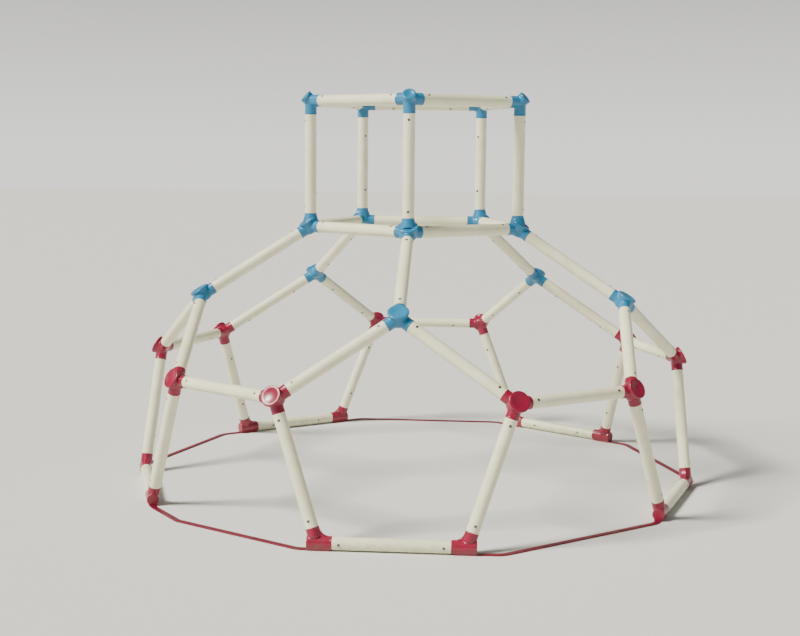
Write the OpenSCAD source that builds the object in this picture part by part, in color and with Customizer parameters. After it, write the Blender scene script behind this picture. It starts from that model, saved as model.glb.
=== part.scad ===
// Dome climber: a ball-shaped frame of equal plastic tubes plugged onto moulded hubs, with a
// five-sided lookout cage on top and flat straps that tie the feet together on the ground.
// Millimetres, Z up. The ground is at Z = 0, the dome's axis is on Z and the front faces -Y.

/* [Frame] */
// Distance between the centres of two neighbouring hubs
edge_l = 450; // [370:1:600]
// Height of the lookout cage, from the deck hubs' centres to the top hubs' centres
cage_h = 438; // [360:1:600]
// How far the base tubes stand out past the belt hubs above them
leg_splay = 75; // [0:1:120]

/* [Tubes] */
// Outside diameter of every tube
tube_od = 40; // [34:0.5:48]
// Wall thickness of every tube
tube_wall = 3; // [2.4:0.1:4]

/* [Hub sockets] */
// Distance from a hub's centre to the mouth of each collar
collar_reach = 47; // [44:0.5:60]
// How much larger across a collar is than the tube that butts against it
collar_step = 1.5; // [0:0.1:4]
// How far the lip at the collar's mouth stands proud
lip_h = 0.8; // [0.2:0.1:2]
// Length of the lip along the collar
lip_w = 3.5; // [1:0.1:6]
// Length of the spigot inside the tube
spigot_l = 86; // [80:1:110]
// How deep the spigot is seated inside the collar
spigot_seat = 24; // [15:1:25]
// Wall thickness of the hollow spigot
spigot_wall = 4.5; // [3:0.1:6]
// Gap all round between the spigot and the tube's bore
spigot_gap = 0.2; // [0.05:0.05:0.5]
// Gap between the tube's end and the collar's mouth
butt_gap = 0.3; // [0:0.05:0.8]

/* [Hub bodies] */
// Diameter of the dished cap on the dome hubs
cap_d = 68; // [58:1:84]
// Height of the dished cap's rim over the hub's centre
cap_h = 25.5; // [22:0.5:34]
// Diameter of the dished cap on the top hubs
top_cap_d = 46; // [40:1:56]
// Height of the top hub's cap over the hub's centre
top_cap_h = 26.5; // [24:0.5:34]
// Thickness of a cap at its rim
cap_t = 9; // [6:0.5:14]
// Depth of the dish in a cap
dish_depth = 3.5; // [1:0.1:5]
// Share of the cap's diameter that the dish takes up
dish_share = 0.74; // [0.6:0.01:0.82]
// Diameter of the round body under a dome hub's cap
body_d = 61; // [52:1:74]
// How far the round body reaches inwards past the hub's centre
body_depth = 23; // [21:0.5:28]
// Width of the flare at the foot of the deck hub's upright collar
flare_w = 8; // [3:0.5:12]

/* [Screws] */
// Diameter of a screw's head
head_d = 8.5; // [7:0.5:11]
// Height of a screw's head
head_h = 2.2; // [1.5:0.1:3]
// Diameter of a screw's shank
shank_d = 4.6; // [3.5:0.1:6]
// Length of a screw's shank
shank_l = 12; // [9:0.5:16]
// Distance from the tube's end to its outward screw
near_screw = 21; // [15:0.5:30]
// Distance from the tube's end to its inward screw
far_screw = 70; // [45:0.5:72]
// Depth of the flat seat under a screw's head
seat_depth = 1.4; // [0.5:0.1:1.8]

/* [Ground joints] */
// Length of the closed heel past the leg
heel_l = 30; // [26:0.5:45]
// Width of the flat foot under the joint
foot_w = 28; // [26:0.5:34]
// Height of the flat foot
foot_h = 13; // [9:0.5:16]
// Distance from the hub's centre at which the leg's collar starts, over a thinner neck
neck_h = 17; // [8:0.5:22]
// How much thinner the neck is, all round
neck_step = 3; // [1:0.5:5]
// How far the web between the two collars reaches along them
web_reach = 43; // [38:1:47]
// Thickness of that web
web_t = 18; // [8:1:26]

/* [Ground straps] */
// Width of a strap
strap_w = 20; // [14:0.5:22]
// Thickness of a strap
strap_t = 4; // [3:0.1:5]
// Length of a strap's end that runs on past the heel before it bends
strap_tab = 75; // [40:1:90]
// The same length at the ends beside the front left foot and the right foot
strap_short_tab = 28; // [26:1:60]
// Length of the slanting run at the start of the left strap
strap_lead = 195; // [100:1:240]
// Angle between that run and the heel that it starts from
strap_turn = 20; // [5:1:30]
// Radius of the bends, at the strap's middle
bend_r = 60; // [25:1:60]
// Gap between a strap and its slot
slot_gap = 0.3; // [0.1:0.05:0.8]

/* [Hidden] */
$fn = 72;
sides = 5;
places = ["front", "right", "back_right", "back_left", "left"];
hands = [["l", -1], ["r", 1]];
blue = "#4e9cc0";
red = "#b0243f";
cream = "#edefe0";
steel = "silver";

// Radii that fit inside each other
tube_r = tube_od / 2;
bore_r = tube_r - tube_wall;
spigot_r = bore_r - spigot_gap;
core_r = spigot_r - spigot_wall;
collar_r = (tube_od + collar_step) / 2;
lip_r = collar_r + lip_h;
pilot_r = shank_d / 2 + 0.05;
clear_r = shank_d / 2 + 0.3;
seat_r = head_d / 2 + 0.5;

// Angles of the five-sided plan
step = 360 / sides;
half = step / 2;

// The dome is the upper part of a ball of regular pentagons and hexagons whose edges are all
// edge_l. Each sector has one pentagon standing on a base tube, and +X is the sector's middle.
ring_r = edge_l / (2 * sin(half));
crown_r = 2 * ring_r;
pent_half = edge_l * cos(half);
belt_x = (edge_l / 2 + pent_half * cos(half)) / sin(half);
foot_x = belt_x + leg_splay;
foot_y = edge_l / 2;

// Heights, from the ground up
foot_z = lip_r + 0.2;
belt_z = foot_z + sqrt(pow(edge_l, 2) - pow(leg_splay, 2) - pow(pent_half - foot_y, 2));
crown_z = belt_z + sqrt(pow(edge_l, 2) - pow(pent_half, 2) - pow(belt_x - crown_r, 2));
deck_z = crown_z + sqrt(pow(edge_l, 2) - pow(ring_r, 2));
top_z = deck_z + cage_h;

function unit(v) = v / norm(v);
function square_to(v, d) = unit(v - (v * d) * d);
function heading(a) = [cos(a), sin(a)];
function turned(p, k) = [
  p.x * cos(step * k) - p.y * sin(step * k),
  p.x * sin(step * k) + p.y * cos(step * k),
  p.z
];
function outward(at, ends) = -unit([1, 1, 1] * [for (e = ends) unit(e - at)]);

// Hub centres in a sector
top_at = [ring_r, 0, top_z];
deck_at = [ring_r, 0, deck_z];
crown_at = [crown_r, 0, crown_z];
function belt_at(s) = [belt_x, s * pent_half, belt_z];
function foot_at(s) = [foot_x, s * foot_y, foot_z];

// The direction in which each hub faces
top_n = outward(top_at, [turned(top_at, 1), turned(top_at, -1), deck_at]);
deck_n = outward(deck_at, [turned(deck_at, 1), turned(deck_at, -1), crown_at]);
crown_n = outward(crown_at, [deck_at, belt_at(-1), belt_at(1)]);
function belt_n(s) = outward(belt_at(s), [crown_at, turned(belt_at(-s), s), foot_at(s)]);
foot_n = [1, 0, 0];

// A run is a tube's place: its two hub centres, then the side that its outward screws face
function run(a, b, na, nb) = [a, b, square_to(na + nb, unit(b - a))];
function back(r) = [r[1], r[0], r[2]];
top_run = run(top_at, turned(top_at, 1), top_n, turned(top_n, 1));
post_run = run(deck_at, top_at, deck_n, top_n);
deck_run = run(deck_at, turned(deck_at, 1), deck_n, turned(deck_n, 1));
spoke_run = run(crown_at, deck_at, crown_n, deck_n);
function shoulder_run(s) = run(belt_at(s), crown_at, belt_n(s), crown_n);
belt_run = run(belt_at(1), turned(belt_at(-1), 1), belt_n(1), turned(belt_n(-1), 1));
function leg_run(s) = run(foot_at(s), belt_at(s), foot_n, belt_n(s));
base_run = run(foot_at(-1), foot_at(1), foot_n, foot_n);
function turned_run(r, k) = [turned(r[0], k), turned(r[1], k), turned(r[2], k)];

// The runs that start at each hub
top_arms = [top_run, turned_run(back(top_run), -1), back(post_run)];
deck_arms = [deck_run, turned_run(back(deck_run), -1), back(spoke_run), post_run];
crown_arms = [spoke_run, back(shoulder_run(-1)), back(shoulder_run(1))];
function belt_arms(s) =
  [shoulder_run(s), s > 0 ? belt_run : turned_run(back(belt_run), -1), back(leg_run(s))];
function ground_arms(s) = [leg_run(s), s > 0 ? back(base_run) : base_run];

// Moves its children into a sector, counted anticlockwise from the front
module sector(k) rotate([0, 0, step * k - 90]) children();

// Stands its children at a point, with their Z along z and their X towards x
module stand(at, z, x) {
  y = cross(z, x);
  multmatrix([
    [x.x, y.x, z.x, at.x],
    [x.y, y.y, z.y, at.y],
    [x.z, y.z, z.z, at.z],
    [0, 0, 0, 1]
  ]) children();
}

module on_run(r) stand(r[0], unit(r[1] - r[0]), r[2]) children();

// Places of the four screws of a tube that is as long as r: its near pair, then its far pair
module at_screws(r) {
  length = norm(r[1] - r[0]);
  for (end = [0, 1]) {
    for (pick = [[near_screw, 0], [far_screw, 180]]) {
      z = collar_reach + butt_gap + pick[0];
      translate([0, 0, end == 0 ? z : length - z])
        rotate([0, 0, pick[1]]) rotate([0, 90, 0]) children();
    }
  }
}

// A tube on its run, with clearance holes and flat seats for its screws
module tube(r) {
  length = norm(r[1] - r[0]);
  start = collar_reach + butt_gap;
  on_run(r) difference() {
    translate([0, 0, start]) cylinder(r = tube_r, h = length - 2 * start);
    translate([0, 0, start - 1]) cylinder(r = bore_r, h = length - 2 * start + 2);
    at_screws(r) {
      cylinder(r = clear_r, h = tube_od);
      translate([0, 0, tube_r - seat_depth]) cylinder(r = seat_r, h = tube_od);
    }
  }
}

// A screw whose head rests at its own Z = 0, with its shank pointing to -Z
module screw() {
  slot_l = head_d * 0.6;
  slot_w = head_d * 0.14;
  difference() {
    union() {
      cylinder(d1 = head_d, d2 = head_d * 0.8, h = head_h);
      translate([0, 0, -shank_l]) cylinder(d = shank_d, h = shank_l + head_h / 2);
    }
    for (a = [0, 90])
      rotate([0, 0, a])
        translate([-slot_l / 2, -slot_w / 2, head_h / 2]) cube([slot_l, slot_w, head_h]);
  }
}

module tube_screws(r) on_run(r) at_screws(r) translate([0, 0, tube_r - seat_depth]) screw();

// One arm of a hub: the collar, which may start over a neck, then its lip
module collar(neck = 0) {
  cylinder(r = collar_r - neck_step, h = collar_reach);
  translate([0, 0, neck]) cylinder(r = collar_r, h = collar_reach - neck);
  translate([0, 0, collar_reach - lip_w]) cylinder(r = lip_r, h = lip_w);
}

// The blind hole in a collar, where its spigot is seated
module collar_hole()
  translate([0, 0, collar_reach - spigot_seat]) cylinder(r = bore_r, h = spigot_seat + 1);

// A hollow spigot from inside its collar into the tube, with pilot holes for the tube's screws
module spigot() {
  start = collar_reach - spigot_seat + spigot_gap;
  length = spigot_seat - spigot_gap + spigot_l;
  difference() {
    translate([0, 0, start]) cylinder(r = spigot_r, h = length);
    translate([0, 0, start - 1]) cylinder(r = core_r, h = length + 2);
    for (pick = [[near_screw, 0], [far_screw, 180]])
      translate([0, 0, collar_reach + butt_gap + pick[0]])
        rotate([0, 0, pick[1]]) rotate([0, 90, 0]) cylinder(r = pilot_r, h = tube_r);
  }
}

// The round body with its dished cap, turned about Z
module capped_body(d, cap, h) {
  r = d / 2;
  c = cap / 2;
  low = h - cap_t;
  edge = 1.6;
  dish_r = c * dish_share;
  ball_r = (pow(dish_r, 2) + pow(dish_depth, 2)) / (2 * dish_depth);
  difference() {
    rotate_extrude() polygon([
      [0, -body_depth], [r * 0.66, -body_depth], [r * 0.9, -body_depth * 0.82],
      [r, -body_depth * 0.45], [r, low - edge], [c - edge, low], [c, low + edge],
      [c, h - edge], [c - edge, h], [0, h]
    ]);
    translate([0, 0, h - dish_depth + ball_r]) sphere(r = ball_r, $fn = 160);
  }
}

// A hub at a point, facing n, with an arm for each run that starts there
module hub(at, n, runs, d, cap, h) difference() {
  union() {
    stand(at, n, square_to([0, 0, 1], n)) capped_body(d, cap, h);
    for (r = runs) on_run(r) collar();
    children();
  }
  for (r = runs) on_run(r) collar_hole();
}

module top_hub(k) color(blue) sector(k)
  hub(top_at, top_n, top_arms, top_cap_d * 0.96, top_cap_d, top_cap_h);

// The deck hub's upright collar stands on its cap in a flare
module deck_hub(k) color(blue) sector(k)
  hub(deck_at, deck_n, deck_arms, body_d, cap_d, cap_h)
    translate(deck_at + [0, 0, cap_h - cap_t])
      cylinder(r1 = collar_r + flare_w, r2 = collar_r, h = collar_reach - lip_w - cap_h + cap_t);

module crown_hub(k) color(blue) sector(k)
  hub(crown_at, crown_n, crown_arms, body_d, cap_d, cap_h);

module belt_hub(k, s) color(red) sector(k)
  hub(belt_at(s), belt_n(s), belt_arms(s), body_d, cap_d, cap_h);

// A web in the corner between two collars, with a hollow curve from one to the other
module web(at, a, b) {
  angle = acos(a * b);
  along = [cos(angle), sin(angle)];
  from = [web_reach, collar_r];
  to = along * web_reach + [along.y, -along.x] * collar_r;
  corner = heading(angle / 2) * collar_r / sin(angle / 2);
  curve = [for (t = [0:0.125:1]) pow(1 - t, 2) * from + 2 * t * (1 - t) * corner + t * t * to];
  stand(at, unit(cross(a, b)), a) translate([0, 0, -web_t / 2])
    linear_extrude(web_t) polygon(concat([[0, 0], [web_reach, 0]], curve, [along * web_reach]));
}

// The joint on the ground: a horizontal collar with a closed heel, a leaning collar for the
// leg and a flat foot, which is slotted from below for the end of the strap
module ground_joint(k, s) {
  at = foot_at(s);
  leg = ground_arms(s)[0];
  base = ground_arms(s)[1];
  leg_dir = unit(leg[1] - leg[0]);
  base_dir = unit(base[1] - base[0]);
  foot_l = heel_l + collar_reach - lip_w - 2;
  slot_w = strap_w + 2 * slot_gap;
  color(red) sector(k) difference() {
    union() {
      on_run(leg) collar(neck_h);
      on_run(base) {
        collar();
        translate([0, 0, -heel_l]) cylinder(r = collar_r, h = heel_l + 1);
      }
      web(at, leg_dir, base_dir);
      translate([at.x - foot_w / 2, at.y - (s > 0 ? foot_l - heel_l : heel_l), 0])
        cube([foot_w, foot_l, foot_h]);
    }
    on_run(leg) collar_hole();
    on_run(base) collar_hole();
    translate([at.x - slot_w / 2, at.y - (s > 0 ? 0 : heel_l + 1), -1])
      cube([slot_w, heel_l + 1, strap_t + slot_gap + 1]);
    translate([at.x, at.y + s * heel_l / 2, 0]) cylinder(r = pilot_r, h = strap_t + shank_l);
  }
}

// The strap's centre line on the ground, from one foot's slot to the next foot's. The left
// strap first slants away from its heel, and the others run on in line with it.
function strap_line(k) =
  let (a = [foot_x, foot_y + slot_gap], far = turned([foot_x, -foot_y - slot_gap, 0], 1))
  let (b = [far.x, far.y], out = heading(90), in = heading(step - 90))
  let (slants = k == 4, start_tab = slants ? bend_r * tan(strap_turn / 2) + 2 : strap_tab)
  let (end_tab = slants || k == 0 ? strap_short_tab : strap_tab)
  let (bend = a + out * (heel_l + start_tab))
  concat(
    [a, bend],
    slants ? [bend + heading(90 + strap_turn) * strap_lead] : [],
    [b + in * (heel_l + end_tab), b]
  );

// Rounds a line's bends with arcs of radius r
function arc_at(p, i, r) =
  let (u = unit(p[i - 1] - p[i]), v = unit(p[i + 1] - p[i]))
  let (spread = acos(u * v) / 2, c = p[i] + unit(u + v) * r / sin(spread))
  let (u_end = p[i] + u * r / tan(spread) - c, v_end = p[i] + v * r / tan(spread) - c)
  [for (t = [0:0.125:1]) c + r * unit((1 - t) * u_end + t * v_end)];
function rounded(p, r) = concat(
  [p[0]],
  [for (i = [1:len(p) - 2]) each arc_at(p, i, r)],
  [p[len(p) - 1]]
);

// Widens a line to a band of constant width, with mitred corners
function side_of(p, i, w) =
  let (n = len(p) - 1)
  let (u = i > 0 ? unit(p[i] - p[i - 1]) : unit(p[1] - p[0]))
  let (v = i < n ? unit(p[i + 1] - p[i]) : u)
  let (m = unit(u + v))
  p[i] + [-m.y, m.x] * w / (m * u);
function band(p, w) = concat(
  [for (i = [0:len(p) - 1]) side_of(p, i, w / 2)],
  [for (i = [len(p) - 1:-1:0]) side_of(p, i, -w / 2)]
);

module at_strap_screws() {
  translate([foot_x, foot_y + heel_l / 2, 0]) children();
  far = turned([foot_x, -foot_y - heel_l / 2, 0], 1);
  translate(far) rotate([0, 0, step]) children();
}

module ground_strap(k) {
  color(red) sector(k) difference() {
    linear_extrude(strap_t) polygon(band(rounded(strap_line(k), bend_r), strap_w));
    at_strap_screws() {
      translate([0, 0, -1]) cylinder(r = clear_r, h = strap_t + 2);
      translate([0, 0, -1]) cylinder(r = seat_r, h = strap_t / 2 + 1);
    }
  }
}

module strap_screws() color(steel)
  for (k = [0:sides - 1])
    sector(k) at_strap_screws() translate([0, 0, strap_t / 2]) rotate([180, 0, 0]) strap_screw();

// A strap's screw has a flatter head, which stays inside the strap
module strap_screw() {
  scale_h = (strap_t / 2 - 0.2) / head_h;
  cylinder(d = head_d, h = head_h * scale_h);
  translate([0, 0, -shank_l]) cylinder(d = shank_d, h = shank_l + 0.5);
}

module ring_of(runs) color(cream)
  for (k = [0:sides - 1], r = runs) sector(k) tube(r);
module ring_screws(runs) color(steel)
  for (k = [0:sides - 1], r = runs) sector(k) tube_screws(r);

module ring_spigots(arms)
  for (k = [0:sides - 1], r = arms) sector(k) on_run(r) spigot();

module top_hub_spigots() color(blue) ring_spigots(top_arms);
module deck_hub_spigots() color(blue) ring_spigots(deck_arms);
module crown_hub_spigots() color(blue) ring_spigots(crown_arms);
module belt_hub_spigots() color(red) ring_spigots(concat(belt_arms(-1), belt_arms(1)));
module ground_joint_spigots() color(red) ring_spigots(concat(ground_arms(-1), ground_arms(1)));
module top_rails() ring_of([top_run]);
module cage_posts() ring_of([post_run]);
module deck_rails() ring_of([deck_run]);
module spokes() ring_of([spoke_run]);
module shoulder_tubes(s) ring_of([shoulder_run(s)]);
module belt_rails() ring_of([belt_run]);
module legs(s) ring_of([leg_run(s)]);
module base_tubes() ring_of([base_run]);
module top_rail_screws() ring_screws([top_run]);
module cage_post_screws() ring_screws([post_run]);
module deck_rail_screws() ring_screws([deck_run]);
module spoke_screws() ring_screws([spoke_run]);
module shoulder_screws() ring_screws([shoulder_run(-1), shoulder_run(1)]);
module belt_rail_screws() ring_screws([belt_run]);
module leg_screws() ring_screws([leg_run(-1), leg_run(1)]);
module base_tube_screws() ring_screws([base_run]);

for (k = [0:sides - 1]) {
  top_hub(k);
  deck_hub(k);
  crown_hub(k);
  ground_strap(k);
  for (h = hands) {
    belt_hub(k, h[1]);
    ground_joint(k, h[1]);
  }
}
top_hub_spigots();
deck_hub_spigots();
crown_hub_spigots();
belt_hub_spigots();
ground_joint_spigots();
top_rails();
cage_posts();
deck_rails();
spokes();
shoulder_tubes(-1);  // shoulder_tubes_l
shoulder_tubes(1);  // shoulder_tubes_r
belt_rails();
legs(-1);  // legs_l
legs(1);  // legs_r
base_tubes();
top_rail_screws();
cage_post_screws();
deck_rail_screws();
spoke_screws();
shoulder_screws();
belt_rail_screws();
leg_screws();
base_tube_screws();
strap_screws();
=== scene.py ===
import bpy
import bmesh
import math
from mathutils import Matrix, Vector


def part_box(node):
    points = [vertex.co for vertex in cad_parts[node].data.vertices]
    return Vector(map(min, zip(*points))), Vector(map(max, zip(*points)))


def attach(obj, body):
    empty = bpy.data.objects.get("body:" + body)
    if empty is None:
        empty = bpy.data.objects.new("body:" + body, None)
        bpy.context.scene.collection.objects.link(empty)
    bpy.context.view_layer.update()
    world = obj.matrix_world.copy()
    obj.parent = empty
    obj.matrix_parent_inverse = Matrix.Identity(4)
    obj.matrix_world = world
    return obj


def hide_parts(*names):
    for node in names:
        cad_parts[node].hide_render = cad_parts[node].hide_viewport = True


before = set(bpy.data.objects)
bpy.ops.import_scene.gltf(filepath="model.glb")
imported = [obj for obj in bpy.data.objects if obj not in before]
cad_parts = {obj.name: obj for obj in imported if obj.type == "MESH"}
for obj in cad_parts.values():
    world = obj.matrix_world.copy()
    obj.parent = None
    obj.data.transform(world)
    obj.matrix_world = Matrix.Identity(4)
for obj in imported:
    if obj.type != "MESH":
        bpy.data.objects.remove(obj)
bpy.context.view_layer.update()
print("frame loaded:", len(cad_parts), "nodes")

# the climber's driving sizes, in metres, as in the CAD model
dome = {
    "edge": 0.450,      # hub centre to hub centre
    "legSplay": 0.075,  # the base tubes stand this far out past the belt hubs
    "sides": 5,
}
socket = {
    "reach": 0.047,         # hub centre to collar mouth
    "radius": 0.02075,
    "lipHeight": 0.0008,
    "lipLength": 0.0035,
    "lipEase": 0.0004,
    "buttGap": 0.0003,      # between the mouth and the tube's end
    "spigotRadius": 0.0168,
    "spigotBore": 0.0123,
    "spigotLength": 0.086,
    "spigotSeat": 0.024,    # how deep the spigot is seated inside the collar
    "spigotGap": 0.0002,
    "tipRound": 0.0015,
    "holeOver": 0.001,      # the collar's hole is cut from this far outside its mouth
}
places = ["front", "right", "back_right", "back_left", "left"]
upward = Vector((0, 0, 1))


def sectorTurn(k):
    # sectors count anticlockwise from the front, and each is drawn with its middle on +X
    return Matrix.Rotation(math.radians(360 / dome["sides"] * k - 90), 4, "Z")


def neighbour(point, k):
    return Matrix.Rotation(math.radians(360 / dome["sides"] * k), 3, "Z") @ point


def readLevels():
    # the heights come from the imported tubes, which lie level at those hubs
    levels = {}
    levelTubes = {"foot": "base_tubes", "belt": "belt_rails", "deck": "deck_rails", "top": "top_rails"}
    for name, node in levelTubes.items():
        low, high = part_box(node)
        levels[name] = (low.z + high.z) / 2
    return levels


def layOutHubs():
    half = math.pi / dome["sides"]
    edge = dome["edge"]
    levels = readLevels()
    ringRadius = edge / (2 * math.sin(half))
    beltSide = edge * math.cos(half)
    beltRadius = (edge / 2 + beltSide * math.cos(half)) / math.sin(half)
    crownLevel = levels["deck"] - math.sqrt(edge ** 2 - ringRadius ** 2)
    hubs = {
        "top": Vector((ringRadius, 0, levels["top"])),
        "deck": Vector((ringRadius, 0, levels["deck"])),
        "crown": Vector((2 * ringRadius, 0, crownLevel)),
    }
    for hand, s in (("l", -1), ("r", 1)):
        hubs["belt_" + hand] = Vector((beltRadius, s * beltSide, levels["belt"]))
        hubs["foot_" + hand] = Vector((beltRadius + dome["legSplay"], s * edge / 2, levels["foot"]))
    return hubs


def layOutArms():
    # the hub centres that each hub's collars point at
    top, deck, crown = hubs["top"], hubs["deck"], hubs["crown"]
    arms = {
        "top": [neighbour(top, 1), neighbour(top, -1), deck],
        "deck": [neighbour(deck, 1), neighbour(deck, -1), crown, top],
        "crown": [deck, hubs["belt_l"], hubs["belt_r"]],
    }
    for hand, other, s in (("l", "r", -1), ("r", "l", 1)):
        arms["belt_" + hand] = [crown, neighbour(hubs["belt_" + other], s), hubs["foot_" + hand]]
        arms["foot_" + hand] = [hubs["belt_" + hand], hubs["foot_" + other]]
    return arms


def facing(point, ends):
    # a hub faces away from the middle of the directions of its tubes
    total = Vector()
    for end in ends:
        total += (end - point).normalized()
    return -total.normalized()


hubs = layOutHubs()
arms = layOutArms()
faces = {name: facing(hubs[name], arms[name]) for name in ("top", "crown", "belt_l", "belt_r")}
faces["deck"] = facing(hubs["deck"], arms["deck"][:3])  # its upright collar is left out
faces["foot_l"] = faces["foot_r"] = Vector((1, 0, 0))


def squareTo(direction, axis):
    return (direction - direction.dot(axis) * axis).normalized()


def standAt(place, z, x):
    x = squareTo(x, z)
    y = z.cross(x)
    return Matrix((
        (x.x, y.x, z.x, place.x),
        (x.y, y.y, z.y, place.y),
        (x.z, y.z, z.z, place.z),
        (0, 0, 0, 1),
    ))


def addNode(tree, kind, inputs=None, **settings):
    # an input is a value, another node's output, or a node, which stands for its first output
    node = tree.nodes.new(kind)
    for name, value in settings.items():
        setattr(node, name, value)
    for name, value in (inputs or {}).items():
        if isinstance(value, bpy.types.Node):
            value = value.outputs[0]
        if isinstance(value, bpy.types.NodeSocket):
            tree.links.new(value, node.inputs[name])
        else:
            node.inputs[name].default_value = value
    return node


def linear(hexColour):
    channels = [int(hexColour[i:i + 2], 16) / 255 for i in (1, 3, 5)]
    return [c / 12.92 if c <= 0.04045 else ((c + 0.055) / 1.055) ** 2.4 for c in channels] + [1.0]


def perMetre(millimetres):
    # a noise scale whose features are that many millimetres across
    return 1000 / millimetres


def startMaterial(name):
    material = bpy.data.materials.new(name)
    material.use_nodes = True
    tree = material.node_tree
    tree.nodes.clear()
    coords = addNode(tree, "ShaderNodeTexCoord").outputs["Object"]
    return material, tree, coords


def patches(tree, coords, look, strength=(0, 1)):
    # blotches some millimetres across, which begin and are full at two levels of the noise
    size, detail, roughness, begin, full = look
    blotches = addNode(tree, "ShaderNodeTexNoise", {
        "Vector": coords, "Scale": perMetre(size), "Detail": detail, "Roughness": roughness,
    })
    return addNode(tree, "ShaderNodeMapRange", {
        "Value": blotches, "From Min": begin, "From Max": full, "To Min": strength[0], "To Max": strength[1],
    })


def layColours(tree, base, layers):
    # each layer hides what is under it by its own share
    colour = linear(base)
    for share, over in layers:
        # a Mix node's factor and two colours go by number
        mix = addNode(tree, "ShaderNodeMix", {0: share, 6: colour, 7: linear(over)}, data_type="RGBA")
        colour = mix.outputs[2]
    return colour


def fineGrain(tree, coords, size, strength):
    # relief too shallow to see as shape, which only breaks up the gloss
    relief = addNode(tree, "ShaderNodeTexNoise", {"Vector": coords, "Scale": perMetre(size), "Detail": 2})
    return addNode(tree, "ShaderNodeBump", {"Height": relief, "Strength": strength, "Distance": 0.0002})


def finishMaterial(tree, inputs):
    shader = addNode(tree, "ShaderNodeBsdfPrincipled", inputs)
    addNode(tree, "ShaderNodeOutputMaterial", {"Surface": shader})


# in these looks, a set of blotches is its size in millimetres, the noise's detail and roughness,
# and the levels where it begins and is full
soilLook = {"height": 0.05, "smears": (22, 6, 0.65, 0.42, 0.72)}


def soilNearGround(tree, coords, strength):
    # soil and grass juice wipe off on whatever stands in the lawn, most in the lowest few centimetres
    height = addNode(tree, "ShaderNodeSeparateXYZ", {"Vector": coords}).outputs["Z"]
    low = addNode(tree, "ShaderNodeMapRange", {
        "Value": height, "From Min": soilLook["height"], "From Max": 0.0,
    })
    smears = patches(tree, coords, soilLook["smears"], (0, strength))
    return addNode(tree, "ShaderNodeMath", {0: low, 1: smears}, operation="MULTIPLY")


tubeLook = {
    "ivory": "#e9e8cb", "shade": "#dddfba", "soil": "#6f6c42", "scuff": "#b9b797",
    "mottle": (60, 4, 0.5, 0.35, 0.7), "scuffs": (9, 8, 0.7, 0.6, 0.72), "scuffing": 0.35,
    "dieLine": 1.6, "dieLineStretch": 0.02, "dieLineDepth": 0.35, "soiling": 0.45, "soilDulls": 0.4,
    "roughness": 0.3, "scuffedRoughness": 0.46, "ior": 1.54, "coat": 0.15, "coatRoughness": 0.12,
}


def extrudedPolyethylene():
    # high-density polyethylene out of an extruder's die: an even, slightly waxy gloss with faint
    # lines along the tube, which hands and shoes have dulled in patches
    look = tubeLook
    material, tree, coords = startMaterial("extrudedPolyethylene")
    mottle = patches(tree, coords, look["mottle"])
    scuffs = patches(tree, coords, look["scuffs"], (0, look["scuffing"]))
    soil = soilNearGround(tree, coords, look["soiling"])
    layers = [(mottle, look["shade"]), (scuffs, look["scuff"]), (soil, look["soil"])]
    scuffed = addNode(tree, "ShaderNodeMapRange", {
        "Value": scuffs, "From Max": look["scuffing"],
        "To Min": look["roughness"], "To Max": look["scuffedRoughness"],
    })
    roughness = {0: soil, 1: look["soilDulls"], 2: scuffed}
    dull = addNode(tree, "ShaderNodeMath", roughness, operation="MULTIPLY_ADD")
    place = addNode(tree, "ShaderNodeAttribute", attribute_name="tubePlace").outputs["Vector"]
    along = addNode(tree, "ShaderNodeMapping", {"Vector": place, "Scale": (1, 1, look["dieLineStretch"])})
    finishMaterial(tree, {
        "Base Color": layColours(tree, look["ivory"], layers), "Roughness": dull, "IOR": look["ior"],
        "Normal": fineGrain(tree, along, look["dieLine"], look["dieLineDepth"]),
        "Coat Weight": look["coat"], "Coat Roughness": look["coatRoughness"],
    })
    return material


# the real mould's pebble is about 0.05 mm and is drawn coarser, since it would not show
hubLook = {
    # each "deep" colour is a darker tint laid in the hubs' hollows as painted shade
    "blue": {"colour": "#186f9a", "faded": "#257ea6", "rubbed": "#6db4d0", "deep": "#0a3a50"},
    "red": {"colour": "#7d042b", "faded": "#8c0f35", "rubbed": "#b94a66", "deep": "#370212"},
    "soil": "#6f6546", "soiling": 0.4, "fading": (34, 4, 0.5, 0.3, 0.75),
    "rubs": (5, 6, 0.5, 0.35, 0.7), "rubbing": 0.4, "rims": (0.56, 0.7),
    "paintedShadeHollows": (0.49, 0.42), "paintedShadeStrength": 0.5, "scuffs": (7, 8, 0.7, 0.4, 0.75),
    "roughness": 0.28, "scuffedRoughness": 0.44, "pebble": 1.2, "pebbleDepth": 0.18,
    "ior": 1.49, "coat": 0.2, "coatRoughness": 0.15,
}


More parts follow.
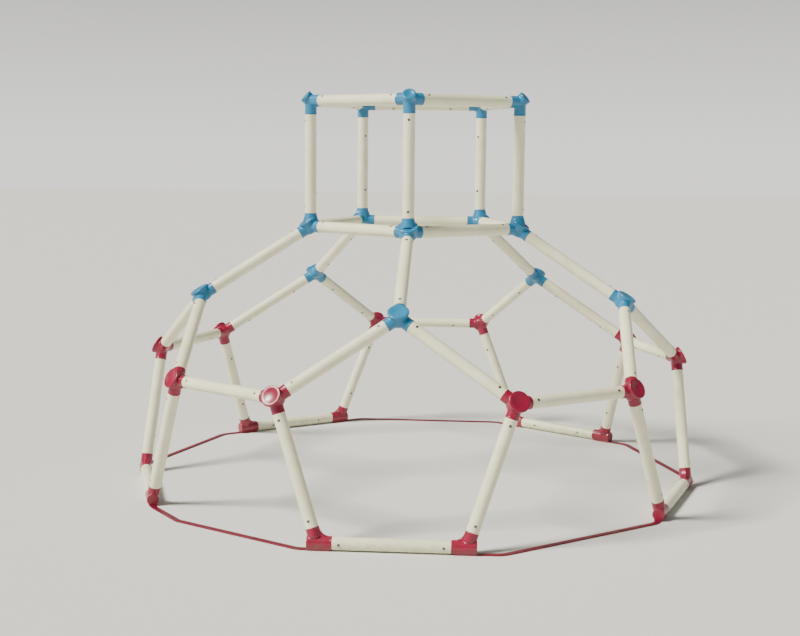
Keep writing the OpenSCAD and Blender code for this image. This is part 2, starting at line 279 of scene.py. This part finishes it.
def mouldedPolypropylene(name, tints):
    # polypropylene shot into a steel mould: a satin gloss with a very fine spark-eroded grain, a
    # little faded by the sun, rubbed pale where its rims stand proud, and given painted shade in its hollows
    look = hubLook
    material, tree, coords = startMaterial(name)
    fading = patches(tree, coords, look["fading"])
    proud = addNode(tree, "ShaderNodeNewGeometry").outputs["Pointiness"]
    rims = addNode(tree, "ShaderNodeMapRange", {
        "Value": proud, "From Min": look["rims"][0], "From Max": look["rims"][1],
    })
    rubs = patches(tree, coords, look["rubs"], (0, look["rubbing"]))
    rubbed = addNode(tree, "ShaderNodeMath", {0: rims, 1: rubs}, operation="MULTIPLY")
    # painted shade: where the surface is hollow it is darkened towards the deep tint, as shade would fall
    # there
    paintedShadeHollows = addNode(tree, "ShaderNodeMapRange", {
        "Value": proud, "From Min": look["paintedShadeHollows"][0], "From Max": look["paintedShadeHollows"][1],
        "To Max": look["paintedShadeStrength"],
    })
    soil = soilNearGround(tree, coords, look["soiling"])
    layers = [
        (fading, tints["faded"]), (rubbed, tints["rubbed"]), (paintedShadeHollows, tints["deep"]), (soil, look["soil"]),
    ]
    finishMaterial(tree, {
        "Base Color": layColours(tree, tints["colour"], layers),
        "Roughness": patches(tree, coords, look["scuffs"], (look["roughness"], look["scuffedRoughness"])),
        "Normal": fineGrain(tree, coords, look["pebble"], look["pebbleDepth"]),
        "IOR": look["ior"], "Coat Weight": look["coat"], "Coat Roughness": look["coatRoughness"],
    })
    return material


strapLook = {
    "paint": "#740826", "dark": "#5e061e", "soil": "#5b4534", "cloud": (50, 4, 0.5, 0.35, 0.7),
    "crust": (18, 7, 0.7, 0.52, 0.75), "soiling": 0.4, "soilDulls": 0.6, "roughness": 0.34,
    "peel": 2.5, "peelDepth": 0.3, "ior": 1.5,
}


def powderCoatedSteel():
    # flat steel bar under a baked powder coat: a satin gloss with a slight orange peel, and soil on
    # it from the lawn that it lies in
    look = strapLook
    material, tree, coords = startMaterial("powderCoatedSteel")
    cloud = patches(tree, coords, look["cloud"])
    soil = patches(tree, coords, look["crust"], (0, look["soiling"]))
    roughness = {0: soil, 1: look["soilDulls"], 2: look["roughness"]}
    finishMaterial(tree, {
        "Base Color": layColours(tree, look["paint"], [(cloud, look["dark"]), (soil, look["soil"])]),
        "Roughness": addNode(tree, "ShaderNodeMath", roughness, operation="MULTIPLY_ADD"),
        "Normal": fineGrain(tree, coords, look["peel"], look["peelDepth"]), "IOR": look["ior"],
    })
    return material


screwLook = {
    "grey": "#6d7072", "rust": "#8f9293", "specks": (1.5, 4, 0.5, 0.45, 0.7), "roughness": (0.32, 0.5),
}


def zincPlatedSteel():
    # bright zinc that has gone grey outdoors, with specks of white rust
    look = screwLook
    material, tree, coords = startMaterial("zincPlatedSteel")
    specks = patches(tree, coords, look["specks"])
    dull = addNode(tree, "ShaderNodeMapRange", {
        "Value": specks, "To Min": look["roughness"][0], "To Max": look["roughness"][1],
    })
    colour = layColours(tree, look["grey"], [(specks, look["rust"])])
    finishMaterial(tree, {"Base Color": colour, "Roughness": dull, "Metallic": 1.0})
    return material


tubePlastic = extrudedPolyethylene()
bluePlastic = mouldedPolypropylene("mouldedPolypropyleneBlue", hubLook["blue"])
redPlastic = mouldedPolypropylene("mouldedPolypropyleneRed", hubLook["red"])
strapPaint = powderCoatedSteel()
screwZinc = zincPlatedSteel()
print("materials made")


def addLathe(bm, profile, place, steps=64, closed=False, scaleAt=None):
    # turns a profile of (radius, height) points about Z; a closed one is a hollow ring
    rings = []
    for radius, height in profile:
        if radius < 1e-7:
            rings.append([bm.verts.new(place @ Vector((0, 0, height)))])
            continue
        ring = []
        for i in range(steps):
            angle = 2 * math.pi * i / steps
            r = radius * (scaleAt(angle, height) if scaleAt else 1)
            ring.append(bm.verts.new(place @ Vector((r * math.cos(angle), r * math.sin(angle), height))))
        rings.append(ring)
    pairs = list(zip(rings, rings[1:])) + ([(rings[-1], rings[0])] if closed else [])
    for a, b in pairs:
        for i in range(steps):
            j = (i + 1) % steps
            if len(a) == 1:
                bm.faces.new((a[0], b[j], b[i]))
            elif len(b) == 1:
                bm.faces.new((a[i], a[j], b[0]))
            else:
                bm.faces.new((a[i], a[j], b[j], b[i]))


def addPrism(bm, outline, thickness, place):
    low = [bm.verts.new(place @ Vector((x, y, -thickness / 2))) for x, y in outline]
    high = [bm.verts.new(place @ Vector((x, y, thickness / 2))) for x, y in outline]
    bm.faces.new(low[::-1])
    bm.faces.new(high)
    for i in range(len(outline)):
        j = (i + 1) % len(outline)
        bm.faces.new((low[i], low[j], high[j], high[i]))


def addBox(bm, low, high):
    low, high = Vector(low), Vector(high)
    matrix = Matrix.Translation((low + high) / 2) @ Matrix.Diagonal((*(high - low), 1))
    bmesh.ops.create_cube(bm, size=1, matrix=matrix)


def linkObject(name, data):
    obj = bpy.data.objects.new(name, data)
    bpy.context.scene.collection.objects.link(obj)
    return obj


def dropObject(obj):
    bpy.data.objects.remove(obj)


def meshObject(name, bm, material=None):
    bmesh.ops.recalc_face_normals(bm, faces=bm.faces)
    mesh = bpy.data.meshes.new(name)
    bm.to_mesh(mesh)
    bm.free()
    if material:
        mesh.materials.append(material)
    return linkObject(name, mesh)


def applyModifiers(obj):
    graph = bpy.context.evaluated_depsgraph_get()
    graph.update()
    mesh = bpy.data.meshes.new_from_object(obj.evaluated_get(graph), depsgraph=graph)
    obj.modifiers.clear()
    obj.data = mesh
    return obj


def finishPiece(obj, node, sharpAngle=35):
    obj.data.polygons.foreach_set("use_smooth", [True] * len(obj.data.polygons))
    obj.data.set_sharp_from_angle(angle=math.radians(sharpAngle))
    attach(obj, "root")
    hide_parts(node)


# radii of a hub's cap and body, the cap's top and thickness along the facing, and the body's depth
hubCaps = {
    "dome": {"cap": 0.034, "top": 0.0255, "rim": 0.009, "body": 0.0305, "depth": 0.023},
    "top": {"cap": 0.023, "top": 0.0265, "rim": 0.009, "body": 0.02208, "depth": 0.023},
}
hubFinish = {
    "voxel": 0.0014, "smooth": 6, "edge": 0.0016, "sharpAngle": 42,
    "dishShare": 0.74, "dishDepth": 0.0035, "dishSteps": 8,
    "back": [(0.66, 1), (0.9, 0.82), (1, 0.45)],  # shares of the body's radius and depth
}
deckFlare = {"foot": 0.02875, "overCap": 0.009}


def capProfile(spec):
    edge, dish = hubFinish["edge"], spec["cap"] * hubFinish["dishShare"]
    body, cap, top, deep = spec["body"], spec["cap"], spec["top"], spec["depth"]
    under = top - spec["rim"]
    profile = [(0, -deep)] + [(body * across, -deep * down) for across, down in hubFinish["back"]]
    profile += [(body, under - edge), (cap - edge, under), (cap, under + edge)]
    profile += [(cap, top - edge), (cap - edge, top)]
    for step in range(hubFinish["dishSteps"] + 1):
        share = 1 - step / hubFinish["dishSteps"]
        profile.append((dish * share, top - hubFinish["dishDepth"] * (1 - share ** 2)))
    return profile


def collarProfile(start=0.0):
    r, lip, ease = socket["radius"], socket["radius"] + socket["lipHeight"], socket["lipEase"]
    mouth, lipStart = socket["reach"], socket["reach"] - socket["lipLength"]
    return [
        (0, start), (r, start), (r, lipStart), (lip, lipStart + ease), (lip, mouth - ease),
        (lip - ease, mouth), (0, mouth),
    ]


def armPlaces(name):
    # a collar's frame has its Z along the tube
    spots = []
    for end in arms[name]:
        axis = (end - hubs[name]).normalized()
        nearlyUpright = abs(axis.z) >= 0.9
        spots.append(standAt(hubs[name], axis, Vector((1, 0, 0)) if nearlyUpright else upward))
    return spots


def addCollarHoles(bm, name):
    r = socket["spigotRadius"] + socket["spigotGap"]
    low, high = socket["reach"] - socket["spigotSeat"], socket["reach"] + socket["holeOver"]
    for place in armPlaces(name):
        addLathe(bm, [(0, low), (r, low), (r, high), (0, high)], place, steps=48)


def mouldTogether(name, bm, holes):
    # melts closed, overlapping shapes into one moulding with small fillets in its corners
    obj = meshObject(name, bm)
    remesh = obj.modifiers.new("melt", "REMESH")
    remesh.mode = "VOXEL"
    remesh.voxel_size = hubFinish["voxel"]
    soften = obj.modifiers.new("soften", "SMOOTH")
    soften.factor = 0.5
    soften.iterations = hubFinish["smooth"]
    addCollarHoles(holes, name)
    cutter = meshObject(name + "Cutter", holes)
    cut = obj.modifiers.new("cut", "BOOLEAN")
    cut.object = cutter
    cut.operation = "DIFFERENCE"
    applyModifiers(obj)
    dropObject(cutter)
    return obj


def mouldRoundHub(name):
    spec = hubCaps["top" if name == "top" else "dome"]
    bm = bmesh.new()
    addLathe(bm, capProfile(spec), standAt(hubs[name], faces[name], upward), steps=96)
    for place in armPlaces(name):
        addLathe(bm, collarProfile(), place)
    if name == "deck":
        low = spec["top"] - deckFlare["overCap"]
        high = socket["reach"] - socket["lipLength"]
        flare = [(0, low), (deckFlare["foot"], low), (socket["radius"], high), (0, high)]
        addLathe(bm, flare, Matrix.Translation(hubs[name]))
    return mouldTogether(name, bm, bmesh.new())


footSpec = {
    "heel": 0.030, "heelEdge": 0.0012, "overlap": 0.001,
    "width": 0.028, "height": 0.013, "neck": 0.017, "neckRadius": 0.01775, "setBack": 0.002,
    "webReach": 0.043, "webThickness": 0.018, "webSteps": 12,
    "slotWidth": 0.0206, "slotHeight": 0.0043, "slotOver": 0.004,
}


def webOutline(angle):
    # fills the corner between two collars at this angle, along a curve that leaves both smoothly
    r, reach = socket["radius"], footSpec["webReach"]
    along = Vector((math.cos(angle), math.sin(angle)))
    start = Vector((reach, r))
    end = along * reach + Vector((along.y, -along.x)) * r
    corner = Vector((math.cos(angle / 2), math.sin(angle / 2))) * r / math.sin(angle / 2)
    points = [Vector((0, 0)), Vector((reach, 0))]
    for step in range(footSpec["webSteps"] + 1):
        t = step / footSpec["webSteps"]
        points.append((1 - t) ** 2 * start + 2 * t * (1 - t) * corner + t * t * end)
    points.append(along * reach)
    return points


def mouldFoot(name):
    at, size, r = hubs[name], footSpec, socket["radius"]
    s = 1 if at.y > 0 else -1
    leg, base = armPlaces(name)
    legAxis, baseAxis = leg.to_3x3().col[2], base.to_3x3().col[2]
    heel, heelEdge, overlap = size["heel"], size["heelEdge"], size["overlap"]
    neckEnd = socket["reach"] - size["setBack"]
    bm = bmesh.new()
    addLathe(bm, [(0, 0), (size["neckRadius"], 0), (size["neckRadius"], neckEnd), (0, neckEnd)], leg)
    addLathe(bm, collarProfile(size["neck"]), leg)
    addLathe(bm, collarProfile(-overlap), base)
    addLathe(bm, [(0, -heel), (r - heelEdge, -heel), (r, -heel + heelEdge), (r, overlap), (0, overlap)], base)
    normal = legAxis.cross(baseAxis).normalized()
    addPrism(bm, webOutline(legAxis.angle(baseAxis)), size["webThickness"], standAt(at, normal, legAxis))
    front = socket["reach"] - socket["lipLength"] - size["setBack"]
    ends = sorted((at.y + s * heel, at.y - s * front))
    half = size["width"] / 2
    addBox(bm, (at.x - half, ends[0], 0), (at.x + half, ends[1], size["height"]))
    slot = bmesh.new()
    ends = sorted((at.y, at.y + s * (heel + size["slotOver"])))
    half = size["slotWidth"] / 2
    addBox(slot, (at.x - half, ends[0], -size["slotOver"]), (at.x + half, ends[1], size["slotHeight"]))
    return mouldTogether(name, bm, slot)


def makeHubs():
    # one moulding for each kind, and a turned copy of it for each sector
    for name, nodeName, material, slotName in (
        ("top", "top_hub_{}", bluePlastic, "blue_plastic"),
        ("deck", "deck_hub_{}", bluePlastic, "blue_plastic"),
        ("crown", "crown_hub_{}", bluePlastic, "blue_plastic"),
        ("belt_l", "belt_hub_{}_l", redPlastic, "red_plastic"),
        ("belt_r", "belt_hub_{}_r", redPlastic, "red_plastic"),
        ("foot_l", "ground_joint_{}_l", redPlastic, "red_plastic"),
        ("foot_r", "ground_joint_{}_r", redPlastic, "red_plastic"),
    ):
        master = mouldFoot(name) if name.startswith("foot") else mouldRoundHub(name)
        print(name, "moulding:", len(master.data.polygons), "faces")
        for k, place in enumerate(places):
            node = nodeName.format(place)
            mesh = master.data.copy()
            mesh.transform(sectorTurn(k))
            mesh.materials.clear()
            mesh.materials.append(material)
            finishPiece(linkObject(node + "_moulding", mesh), node, hubFinish["sharpAngle"])
        dropObject(master)


makeHubs()

# the names are the tube tree's inputs; a screw's distance is from the tube's end
tubeSizes = {
    "Outer Radius": 0.020, "Wall": 0.003, "Near Screw": 0.021, "Far Screw": 0.070,
    "Seat Radius": 0.00475, "Seat Depth": 0.0014,
}
tubeCuts = {"sides": 64, "lengths": 15, "seatSides": 20, "drill": 0.010, "boreOver": 0.002}


def layOutRuns():
    # every tube's run in its sector: two hub centres and the side that its outward screws face
    ends = {
        "top_rails": ("top", "top", 1),
        "cage_posts": ("deck", "top", 0),
        "deck_rails": ("deck", "deck", 1),
        "spokes": ("crown", "deck", 0),
        "shoulder_tubes_l": ("belt_l", "crown", 0),
        "shoulder_tubes_r": ("belt_r", "crown", 0),
        "belt_rails": ("belt_r", "belt_l", 1),
        "legs_l": ("foot_l", "belt_l", 0),
        "legs_r": ("foot_r", "belt_r", 0),
        "base_tubes": ("foot_l", "foot_r", 0),
    }
    runs = {}
    for node, (first, second, k) in ends.items():
        a, b = hubs[first], neighbour(hubs[second], k)
        outward = faces[first] + neighbour(faces[second], k)
        runs[node] = (a, b, squareTo(outward, (b - a).normalized()))
    return runs


def inSector(run, k):
    turn = sectorTurn(k).to_3x3()
    return [turn @ v for v in run]


runs = layOutRuns()


def newTree(name, inputs):
    tree = bpy.data.node_groups.new(name, "GeometryNodeTree")
    tree.interface.new_socket("Geometry", in_out="INPUT", socket_type="NodeSocketGeometry")
    tree.interface.new_socket("Geometry", in_out="OUTPUT", socket_type="NodeSocketGeometry")
    for label, kind in [*inputs, ("Material", "Material")]:
        tree.interface.new_socket(label, in_out="INPUT", socket_type="NodeSocket" + kind)
    return tree, addNode(tree, "NodeGroupInput").outputs


def endTree(tree, given, geometry):
    real = addNode(tree, "GeometryNodeRealizeInstances", {"Geometry": geometry})
    painted = addNode(tree, "GeometryNodeSetMaterial", {"Geometry": real, "Material": given["Material"]})
    addNode(tree, "NodeGroupOutput", {"Geometry": painted})
    return tree


def runTree(obj, tree, values):
    modifier = obj.modifiers.new(tree.name, "NODES")
    modifier.node_group = tree
    # by identifier, since a modifier's keys are the sockets' identifiers and not their names
    for item in tree.interface.items_tree:
        if item.item_type == "SOCKET" and item.in_out == "INPUT" and item.name in values:
            modifier[item.identifier] = values[item.name]
    return applyModifiers(obj)


def tubeTree():
    # one tube on Z from the first mouth to the second, with four flat screw seats cut into it
    tree, given = newTree("tubeWithSeats", [(label, "Float") for label in ("Length", *tubeSizes)])
    length, radius = given["Length"], given["Outer Radius"]
    halfLength = addNode(tree, "ShaderNodeMath", {0: length, 1: 0.5}, operation="MULTIPLY")
    middle = addNode(tree, "ShaderNodeCombineXYZ", {"Z": halfLength})
    boreRadius = addNode(tree, "ShaderNodeMath", {0: radius, 1: given["Wall"]}, operation="SUBTRACT")
    boreLength = addNode(tree, "ShaderNodeMath", {0: length, 1: tubeCuts["boreOver"]}, operation="ADD")
    rods = []
    for rodRadius, rodLength in ((radius, length), (boreRadius, boreLength)):
        rod = addNode(tree, "GeometryNodeMeshCylinder", {
            "Vertices": tubeCuts["sides"], "Side Segments": tubeCuts["lengths"],
            "Radius": rodRadius, "Depth": rodLength,
        })
        rods.append(addNode(tree, "GeometryNodeTransform", {"Geometry": rod, "Translation": middle}))
    cut = addNode(tree, "GeometryNodeMeshBoolean", {0: rods[0]}, operation="DIFFERENCE", solver="EXACT")
    tree.links.new(rods[1].outputs[0], cut.inputs[1])
    floorAt = addNode(tree, "ShaderNodeMath", {0: radius, 1: given["Seat Depth"]}, operation="SUBTRACT")
    drillAt = addNode(tree, "ShaderNodeMath", {0: floorAt, 1: tubeCuts["drill"] / 2}, operation="ADD")
    for screw, way in (("Near Screw", 1), ("Far Screw", -1)):
        fromEnd = addNode(tree, "ShaderNodeMath", {0: length, 1: given[screw]}, operation="SUBTRACT")
        for height in (given[screw], fromEnd):
            drill = addNode(tree, "GeometryNodeMeshCylinder", {
                "Vertices": tubeCuts["seatSides"], "Radius": given["Seat Radius"], "Depth": tubeCuts["drill"],
            })
            out = addNode(tree, "ShaderNodeMath", {0: drillAt, 1: way}, operation="MULTIPLY")
            spot = addNode(tree, "ShaderNodeCombineXYZ", {"X": out, "Z": height})
            seat = addNode(tree, "GeometryNodeTransform", {
                "Geometry": drill, "Translation": spot, "Rotation": (0, math.pi / 2, 0),
            })
            tree.links.new(seat.outputs[0], cut.inputs[1])
    stored = addNode(tree, "GeometryNodeStoreNamedAttribute", {
        "Geometry": cut, "Name": "tubePlace",
    }, data_type="FLOAT_VECTOR", domain="POINT")
    tree.links.new(addNode(tree, "GeometryNodeInputPosition").outputs[0], stored.inputs["Value"])
    return endTree(tree, given, stored)


def spreadTree():
    # sets a finished piece on every point, its Z along "axis" and its X towards "side"
    tree, given = newTree("setPiecesOnPoints", [("Piece", "Object"), ("Spin", "Float"), ("Seed", "Int")])
    read = {}
    for label in ("axis", "side"):
        named = addNode(tree, "GeometryNodeInputNamedAttribute", {"Name": label}, data_type="FLOAT_VECTOR")
        read[label] = named.outputs["Attribute"]
    upright = addNode(tree, "FunctionNodeAlignRotationToVector", {"Vector": read["axis"]}, axis="Z")
    faced = addNode(tree, "FunctionNodeAlignRotationToVector", {
        "Rotation": upright, "Vector": read["side"],
    }, axis="X", pivot_axis="Z")
    share = addNode(tree, "FunctionNodeRandomValue", {"Seed": given["Seed"]}, data_type="FLOAT").outputs[1]
    angle = addNode(tree, "ShaderNodeMath", {0: share, 1: given["Spin"]}, operation="MULTIPLY")
    spin = addNode(tree, "FunctionNodeAxisAngleToRotation", {"Axis": (0, 0, 1), "Angle": angle})
    turned = addNode(tree, "FunctionNodeRotateRotation", {
        "Rotation": faced, "Rotate By": spin,
    }, rotation_space="LOCAL")
    piece = addNode(tree, "GeometryNodeObjectInfo", {"Object": given["Piece"]}).outputs["Geometry"]
    points = addNode(tree, "GeometryNodeMeshToPoints", {"Mesh": given["Geometry"]})
    placed = addNode(tree, "GeometryNodeInstanceOnPoints", {
        "Points": points, "Instance": piece, "Rotation": turned,
    })
    return endTree(tree, given, placed)


def pointObject(name, points):
    # points are (place, axis, side)
    mesh = bpy.data.meshes.new(name)
    mesh.from_pydata([p[0] for p in points], [], [])
    for label, index in (("axis", 1), ("side", 2)):
        attribute = mesh.attributes.new(label, "FLOAT_VECTOR", "POINT")
        attribute.data.foreach_set("vector", [c for p in points for c in p[index]])
    return linkObject(name, mesh)


placing = spreadTree()


def makeTubes():
    shaping = tubeTree()
    start = socket["reach"] + socket["buttGap"]
    masters = {}
    for node, run in runs.items():
        length = round((run[1] - run[0]).length - 2 * start, 6)
        if length not in masters:
            master = pointObject("tubeMaster", [(Vector(), upward, Vector((1, 0, 0)))])
            values = {"Length": length, **tubeSizes, "Material": tubePlastic}
            masters[length] = runTree(master, shaping, values)
            print("tube of", length, "m:", len(master.data.polygons), "faces")
        points = []
        for k in range(dome["sides"]):
            a, b, side = inSector(run, k)
            axis = (b - a).normalized()
            points.append((a + axis * start, axis, side))
        obj = pointObject(node + "_extruded", points)
        runTree(obj, placing, {"Piece": masters[length], "Spin": 0.0, "Seed": 1, "Material": tubePlastic})
        finishPiece(obj, node)
    for master in masters.values():
        dropObject(master)


makeTubes()
print("tubes made")


def spigotProfile():
    # from the spigot's seat inside the collar to its rounded tip inside the tube
    tip = socket["spigotSeat"] - socket["spigotGap"] + socket["spigotLength"]
    r, bore, edge = socket["spigotRadius"], socket["spigotBore"], socket["tipRound"]
    return [(bore, 0), (r, 0), (r, tip - edge), (r - edge, tip), (bore, tip)]


def makeSpigots():
    # the hollow spigots that join the collars to the tubes
    groups = {
        "top_hub_spigots": (["top"], bluePlastic, "blue_plastic"),
        "deck_hub_spigots": (["deck"], bluePlastic, "blue_plastic"),
        "crown_hub_spigots": (["crown"], bluePlastic, "blue_plastic"),
        "belt_hub_spigots": (["belt_l", "belt_r"], redPlastic, "red_plastic"),
        "ground_joint_spigots": (["foot_l", "foot_r"], redPlastic, "red_plastic"),
    }
    bm = bmesh.new()
    addLathe(bm, spigotProfile(), Matrix(), steps=48, closed=True)
    master = meshObject("spigot", bm, bluePlastic)
    start = socket["reach"] - socket["spigotSeat"] + socket["spigotGap"]
    for node, (members, material, slotName) in groups.items():
        points = []
        for member in members:
            for k in range(dome["sides"]):
                at, *ends = inSector([hubs[member], *arms[member]], k)
                for end in ends:
                    axis = (end - at).normalized()
                    points.append((at + axis * start, axis, axis.orthogonal()))
        obj = pointObject(node + "_sleeves", points)
        runTree(obj, placing, {"Piece": master, "Spin": 0.0, "Seed": 1, "Material": material})
        finishPiece(obj, node)
    dropObject(master)


# lengths in metres, but the dome's points and the cross are shares of the head's radius and height
screwSizes = {
    "head": 0.00425, "height": 0.0022, "shank": 0.0023, "length": 0.012, "steps": 12,
    "headDome": [(1, 0.4), (0.9, 0.8), (0.68, 1)],
    "cross": 0.62, "crossTop": 0.98, "crossFloor": 0.35, "crossTaper": 0.8, "crossArm": 0.3,
}


def crossShare(angle):
    # the driver's cross: how far out it reaches at an angle, as a share of its full reach
    arm = screwSizes["crossArm"]
    c, s = max(abs(math.cos(angle)), 1e-6), max(abs(math.sin(angle)), 1e-6)
    return max(min(1 / c, arm / s), min(arm / c, 1 / s))


def panHeadScrew():
    size = screwSizes
    head, height, shank = size["head"], size["height"], size["shank"]
    cross, top, floor = head * size["cross"], height * size["crossTop"], height * size["crossFloor"]

    def share(angle, z):
        return crossShare(angle) if z in (top, floor) else 1

    profile = [(0, -size["length"]), (shank, -size["length"]), (shank, 0), (head, 0)]
    profile += [(head * across, height * up) for across, up in size["headDome"]]
    profile += [(cross, top), (cross * size["crossTaper"], floor), (0, floor)]
    bm = bmesh.new()
    addLathe(bm, profile, Matrix(), steps=size["steps"], scaleAt=share)
    return meshObject("panHead", bm, screwZinc)


def seatsOnRun(run):
    # a tube's screws: the near pair faces outwards and the far pair inwards
    a, b, side = run
    axis = (b - a).normalized()
    length = (b - a).length
    start = socket["reach"] + socket["buttGap"]
    deep = tubeSizes["Outer Radius"] - tubeSizes["Seat Depth"]
    seats = []
    for offset, way in ((tubeSizes["Near Screw"], side), (tubeSizes["Far Screw"], -side)):
        for z in (start + offset, length - start - offset):
            seats.append((a + axis * z + way * deep, way, axis))
    return seats


def makeScrews():
    groups = {
        "top_rail_screws": ["top_rails"],
        "cage_post_screws": ["cage_posts"],
        "deck_rail_screws": ["deck_rails"],
        "spoke_screws": ["spokes"],
        "shoulder_screws": ["shoulder_tubes_l", "shoulder_tubes_r"],
        "belt_rail_screws": ["belt_rails"],
        "leg_screws": ["legs_l", "legs_r"],
        "base_tube_screws": ["base_tubes"],
    }
    master = panHeadScrew()
    for seed, (node, members) in enumerate(groups.items()):
        points = []
        for member in members:
            for k in range(dome["sides"]):
                points += seatsOnRun(inSector(runs[member], k))
        obj = pointObject(node + "_panhead", points)
        runTree(obj, placing, {"Piece": master, "Spin": 2 * math.pi, "Seed": seed, "Material": screwZinc})
        finishPiece(obj, node)
    dropObject(master)
    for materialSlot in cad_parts["strap_screws"].material_slots:
        materialSlot.material = screwZinc  # these stay as packed, since the feet hide them


makeSpigots()
makeScrews()
print("spigots and screws made")

# the names are the strap tree's inputs
strapSizes = {"Width": 0.020, "Thickness": 0.004, "Bend Radius": 0.060, "Edge Round": 0.0008}
strapSteps = {"bend": 14, "edge": 3}
strapRoute = {
    "slotGap": 0.0003,
    "tab": 0.075,       # heel to bend
    "shortTab": 0.028,
    "lead": 0.195,      # the slanting part of the left strap
    "turn": 20,
    "clearOfHeel": 0.002,
}


def strapTree():
    # bends a flat bar with rounded edges along a route drawn as straight edges
    tree, given = newTree("flatBarOnRoute", [(label, "Float") for label in strapSizes])
    route = addNode(tree, "GeometryNodeMeshToCurve", {"Mesh": given["Geometry"]})
    bent = addNode(tree, "GeometryNodeFilletCurve", {
        "Curve": route, "Count": strapSteps["bend"], "Radius": given["Bend Radius"],
    }, mode="POLY")
    level = addNode(tree, "GeometryNodeSetCurveNormal", {"Curve": bent}, mode="Z_UP")
    bar = addNode(tree, "GeometryNodeCurvePrimitiveQuadrilateral", {
        "Width": given["Width"], "Height": given["Thickness"],
    })
    eased = addNode(tree, "GeometryNodeFilletCurve", {
        "Curve": bar, "Count": strapSteps["edge"], "Radius": given["Edge Round"],
    }, mode="POLY")
    solid = addNode(tree, "GeometryNodeCurveToMesh", {
        "Curve": level, "Profile Curve": eased, "Fill Caps": True,
    })
    return endTree(tree, given, solid)


def heading(degrees):
    return Vector((math.cos(math.radians(degrees)), math.sin(math.radians(degrees)), 0))


def strapLine(k):
    # from this sector's right foot to the next sector's left foot; the left strap slants at first
    size, heel = strapRoute, footSpec["heel"]
    level = Vector((1, 1, 0))
    inSlot = Vector((0, size["slotGap"], 0))
    middle = upward * strapSizes["Thickness"] / 2
    step = 360 / dome["sides"]
    a = hubs["foot_r"] * level + inSlot + middle
    b = neighbour(hubs["foot_l"] * level - inSlot + middle, 1)
    slants = places[k] == "left"
    startTab = endTab = size["tab"]
    if slants:
        startTab = strapSizes["Bend Radius"] * math.tan(math.radians(size["turn"] / 2)) + size["clearOfHeel"]
    if places[k] in ("front", "left"):
        endTab = size["shortTab"]
    line = [a, a + heading(90) * (heel + startTab)]
    if slants:
        line.append(line[-1] + heading(90 + size["turn"]) * size["lead"])
    line += [b + heading(step - 90) * (heel + endTab), b]
    return inSector(line, k)


def makeStraps():
    bending = strapTree()
    for k, place in enumerate(places):
        line = strapLine(k)
        mesh = bpy.data.meshes.new("strapRoute")
        mesh.from_pydata(line, [(i, i + 1) for i in range(len(line) - 1)], [])
        obj = linkObject("ground_strap_" + place + "_bar", mesh)
        runTree(obj, bending, {**strapSizes, "Material": strapPaint})
        finishPiece(obj, "ground_strap_" + place)


makeStraps()
print("straps made")

studio = {
    "floor": "#d6d6d3", "floorRoughness": 0.85, "floorSize": 30,
    "room": "#faf8f5", "low": 1.35, "high": 0.2, "fadesBy": 0.25,
    "key": {"heading": (0.85, 0.42, -1.0), "strength": 7.5, "spread": 17, "colour": "#fff8ee"},
    "fill": {"heading": (-0.8, 0.5, -0.5), "strength": 0.15, "spread": 50, "colour": "#e8f0ff"},
}
camera = {
    "place": (0.310, -4.802, 1.202), "turn": 4.33, "tilt": -7.36, "roll": 0.53,
    "lens": 60.07, "sensor": 36,
}


def addLamp(name, spec):
    # a very large lamp far away, so that its light falls evenly over the whole floor
    lamp = bpy.data.lights.new(name, "SUN")
    lamp.energy = spec["strength"]
    lamp.angle = math.radians(spec["spread"])
    lamp.color = linear(spec["colour"])[:3]
    obj = linkObject(name, lamp)
    obj.rotation_euler = Vector(spec["heading"]).to_track_quat("-Z", "Y").to_euler()


def makeRoom():
    # pale walls that are brightest at floor level
    world = bpy.data.worlds.new("softRoom")
    world.use_nodes = True
    tree = world.node_tree
    tree.nodes.clear()
    direction = addNode(tree, "ShaderNodeTexCoord").outputs["Generated"]
    height = addNode(tree, "ShaderNodeSeparateXYZ", {"Vector": direction}).outputs["Z"]
    strength = addNode(tree, "ShaderNodeMapRange", {
        "Value": height, "From Max": studio["fadesBy"], "To Min": studio["low"], "To Max": studio["high"],
    })
    walls = addNode(tree, "ShaderNodeBackground", {"Color": linear(studio["room"]), "Strength": strength})
    addNode(tree, "ShaderNodeOutputWorld", {"Surface": walls})
    bpy.context.scene.world = world


def setStage():
    bm = bmesh.new()
    bmesh.ops.create_grid(bm, x_segments=1, y_segments=1, size=studio["floorSize"])
    material, tree, coords = startMaterial("paleStudioFloor")
    finishMaterial(tree, {"Base Color": linear(studio["floor"]), "Roughness": studio["floorRoughness"]})
    meshObject("floor", bm, material)
    makeRoom()
    for name in ("key", "fill"):
        addLamp(name + "Light", studio[name])


def setCamera():
    view = bpy.data.cameras.new("camera")
    view.lens = camera["lens"]
    view.sensor_width = camera["sensor"]
    view.dof.use_dof = False
    obj = linkObject("camera", view)
    turn = Matrix.Rotation(math.radians(camera["turn"]), 4, "Z")
    tilt = Matrix.Rotation(math.radians(90 + camera["tilt"]), 4, "X")
    roll = Matrix.Rotation(math.radians(camera["roll"]), 4, "Z")
    obj.matrix_world = Matrix.Translation(camera["place"]) @ turn @ tilt @ roll
    bpy.context.scene.camera = obj


setStage()
setCamera()
print("stage set")
